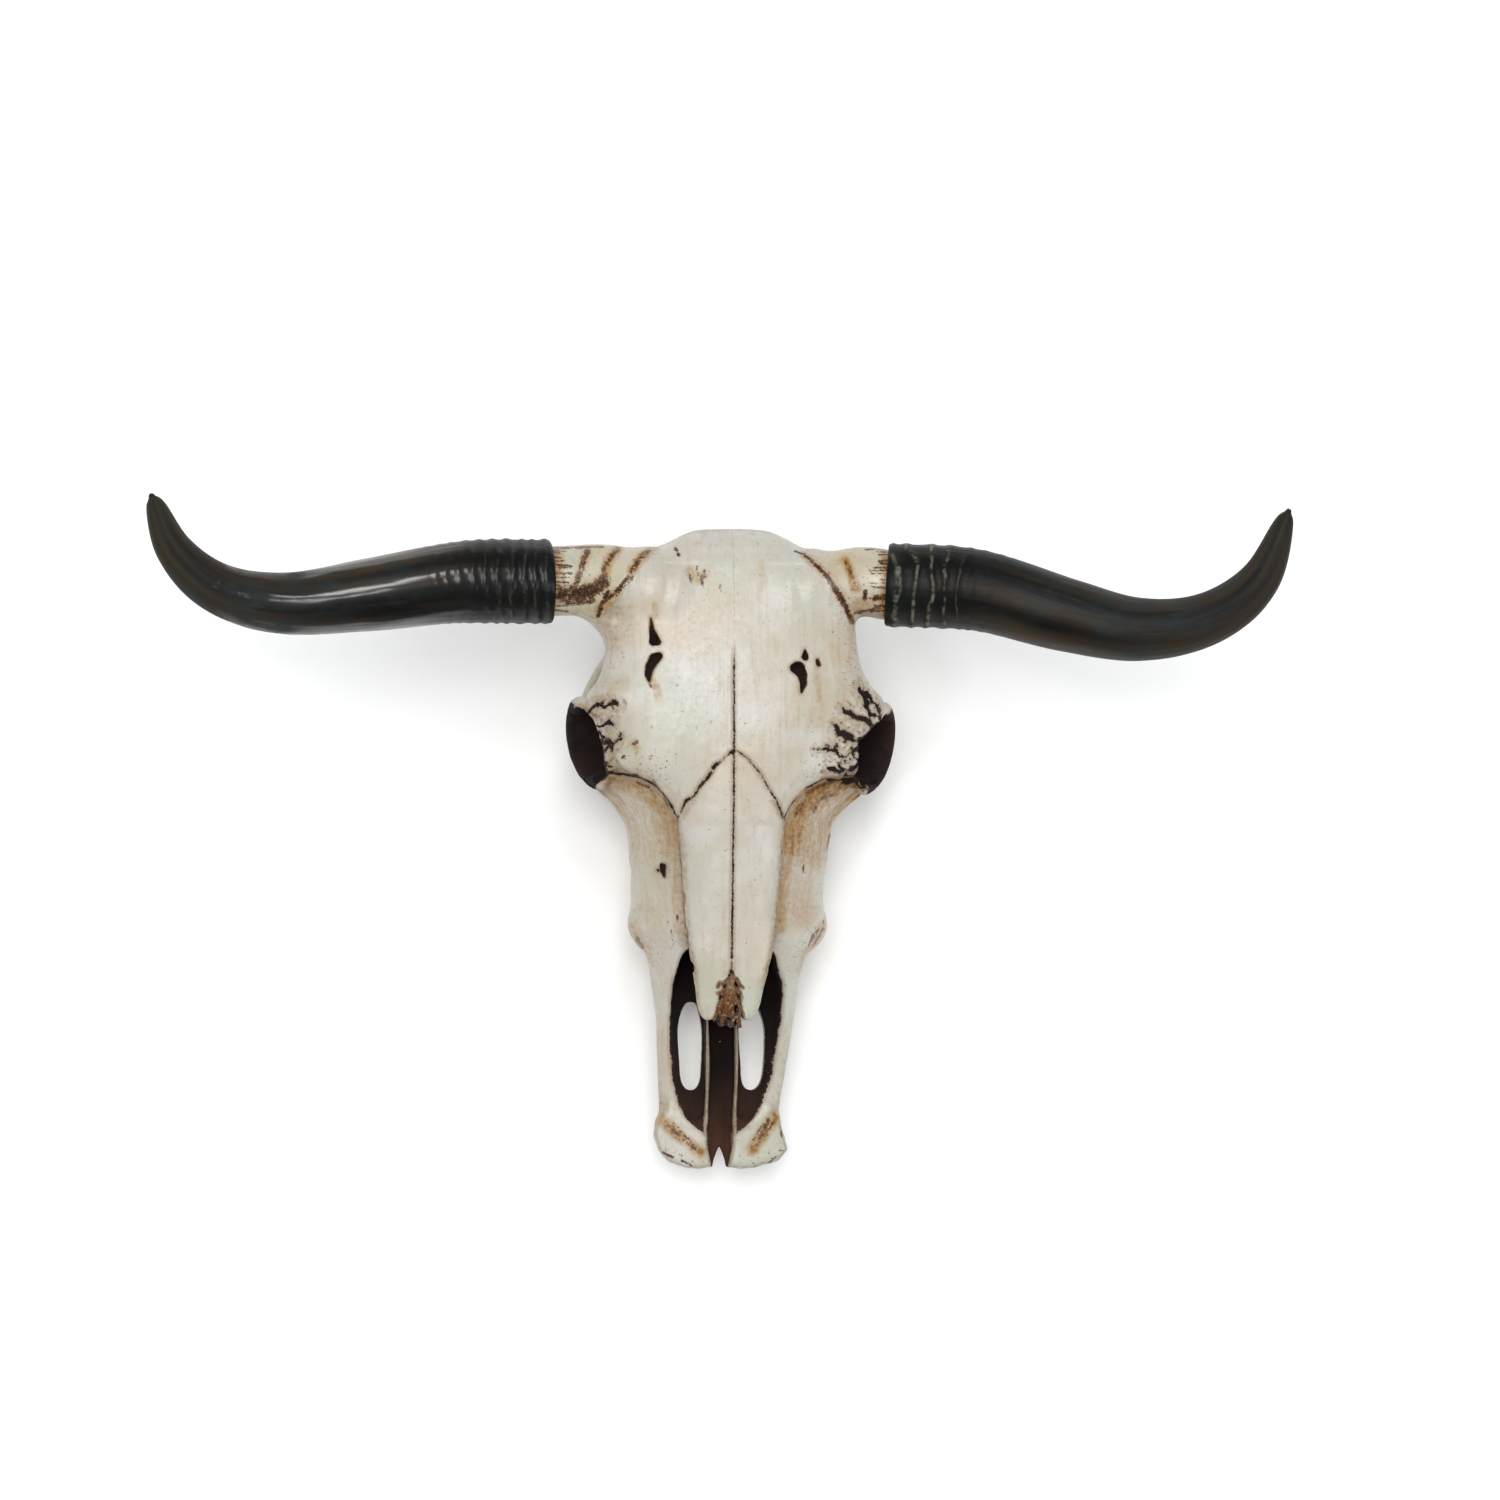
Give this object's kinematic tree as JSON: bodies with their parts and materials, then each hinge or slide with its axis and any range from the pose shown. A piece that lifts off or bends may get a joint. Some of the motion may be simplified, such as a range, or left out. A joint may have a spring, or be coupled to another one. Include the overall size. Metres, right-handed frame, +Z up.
{
  "type": "longhorn steer skull",
  "caption": "Longhorn steer skull without its lower jaw, ivory bone with brown wash in seams, pits and sockets, and wide dark ringed horns turned up at the tips.",
  "frame": {"origin": "on the floor, under the middle of the whole skull and its horns", "axes": "+X to the right across the horns, +Y from the nose to the poll, +Z up out of the forehead"},
  "size_m": [0.8884, 0.5256, 0.2329],
  "materials": {
    "bone": "satin ivory bone with a yellow-brown wash",
    "horn_core": "satin, cream with brown stains",
    "stained_bone": "matt dark brown stain",
    "horn": "polished dark brown horn"
  },
  "bodies": {
    "root": {"horn_core_left": "horn_core", "horn_core_right": "horn_core", "nasal_left": "bone", "nasal_right": "bone", "frontal_left": "bone", "frontal_right": "bone", "premaxilla_left": "bone", "premaxilla_right": "bone", "lacrimal_left": "bone", "lacrimal_right": "bone", "zygomatic_left": "bone", "zygomatic_right": "bone", "temporal_left": "bone", "temporal_right": "bone", "maxilla_left": "bone", "maxilla_right": "bone", "occipital": "bone", "sphenoid": "bone", "vomer": "stained_bone", "horn_left": "horn", "horn_right": "horn"}
  },
  "joints": []
}
